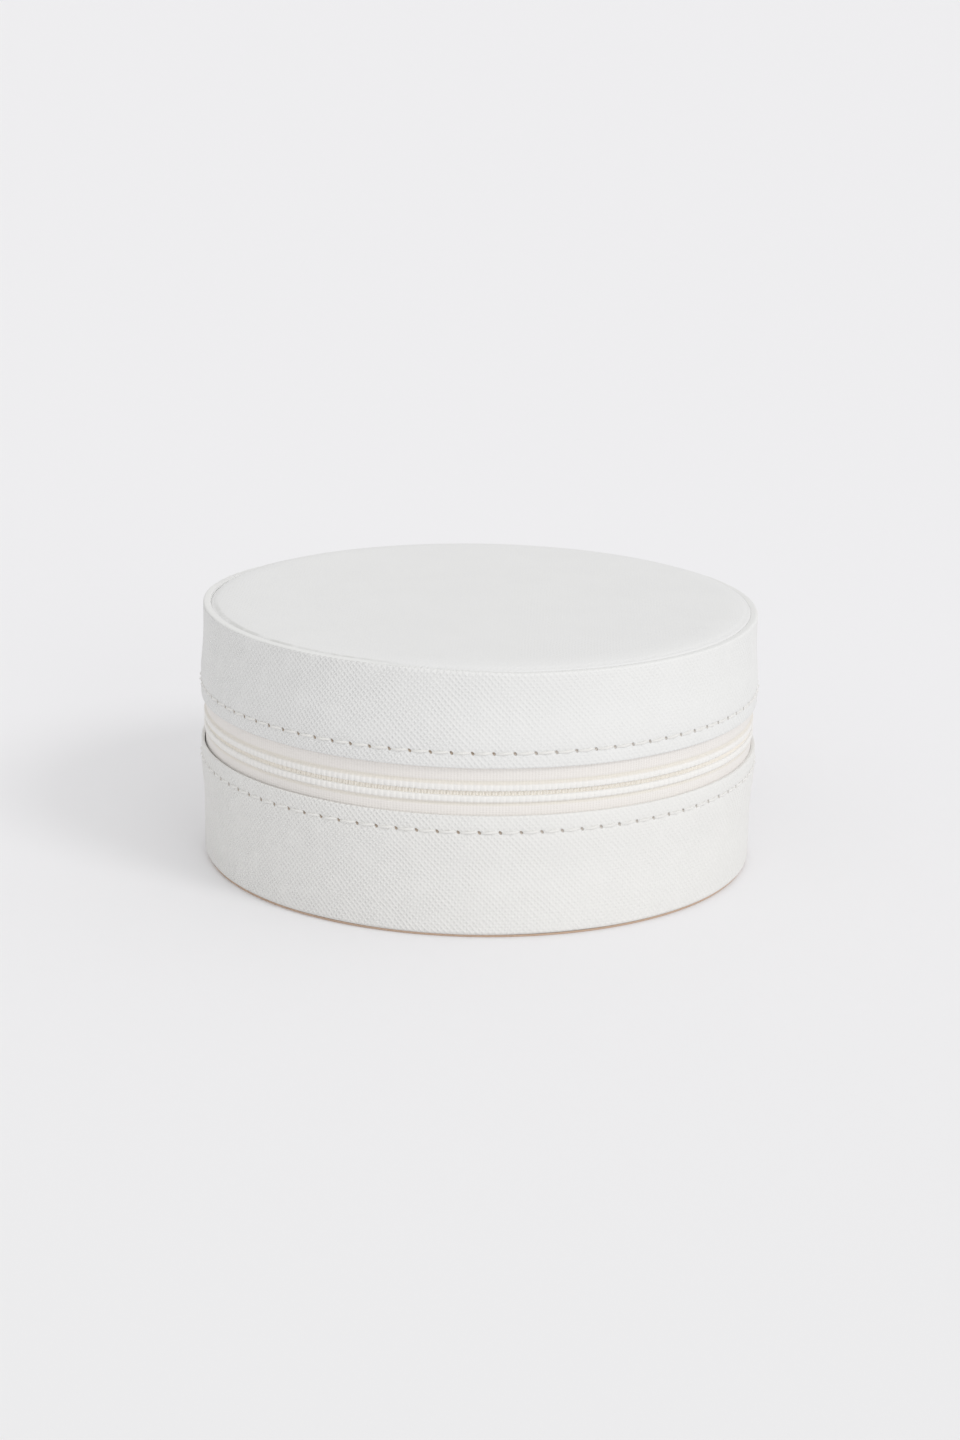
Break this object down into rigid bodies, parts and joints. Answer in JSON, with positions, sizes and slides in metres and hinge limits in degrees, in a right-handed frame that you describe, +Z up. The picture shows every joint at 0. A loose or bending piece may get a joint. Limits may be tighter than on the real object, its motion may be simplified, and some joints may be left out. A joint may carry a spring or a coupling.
{
  "type": "jewelry box",
  "caption": "Round zip-around travel jewelry box: leather-covered drum with a hinged lid, coil zip, lid mirror, ring rolls and divided velvet trays",
  "frame": {"origin": "middle of the flat face that the box stands on, on the drum's axis", "axes": "+Z up, -Y to the front, +Y to the hinge, +X to the right seen from the front"},
  "size_m": [0.1112, 0.1123, 0.0517],
  "materials": {
    "white_leather": "cross-hatched embossed faux leather, low sheen",
    "grey_board": "raw board, hidden",
    "velvet": "short-pile velvet",
    "foam": "padding foam, hidden",
    "zip_tape": "woven tape",
    "zip_coil": "nylon monofilament",
    "pale_gold": "pale gold plating",
    "mirror": "silvered glass"
  },
  "bodies": {
    "base": {"base_bottom_cover": "white_leather", "base_wall_cover": "white_leather", "base_wall_board": "grey_board", "base_floor_board": "grey_board", "base_liner_board": "grey_board", "base_wall_lining": "velvet", "base_floor_pad": "velvet", "divider_main": "velvet", "divider_cross": "velvet", "ring_roll_1": "velvet", "ring_roll_2": "velvet", "ring_roll_3": "velvet", "zip_tape_lower": "zip_tape", "zip_coil_lower": "zip_coil", "zip_stop_lower_left": "pale_gold", "zip_stop_lower_right": "pale_gold", "hinge_strip": "white_leather"},
    "lid": {"lid_wall_cover": "white_leather", "lid_wall_board": "grey_board", "lid_top_board": "grey_board", "lid_top_foam": "foam", "lid_top_cover": "white_leather", "lid_inner_board": "grey_board", "lid_ceiling_lining": "velvet", "lid_wall_lining": "velvet", "mirror_glass": "mirror", "mirror_frame": "velvet", "zip_tape_upper": "zip_tape", "zip_coil_upper": "zip_coil", "zip_stop_upper_left": "pale_gold", "zip_stop_upper_right": "pale_gold"},
    "slider": {"slider_body": "pale_gold", "slider_crown": "pale_gold"},
    "pull": {"pull_tab": "pale_gold"}
  },
  "joints": [
    {"name": "lid_hinge", "type": "hinge", "parent": "base", "child": "lid", "pos_m": [0, 0.0562, 0.028], "axis": [-1, 0, 0], "range_deg": [0, 105], "deforming": ["hinge_strip"]},
    {"name": "slider_travel", "type": "hinge", "parent": "base", "child": "slider", "pos_m": [0, 0, 0.028], "axis": [0, 0, -1], "range_deg": [0, 292]},
    {"name": "pull_swing", "type": "hinge", "parent": "slider", "child": "pull", "pos_m": [0.03283, 0.04866, 0.028], "axis": [0.829, -0.5592, 0], "range_deg": [0, 170]}
  ]
}
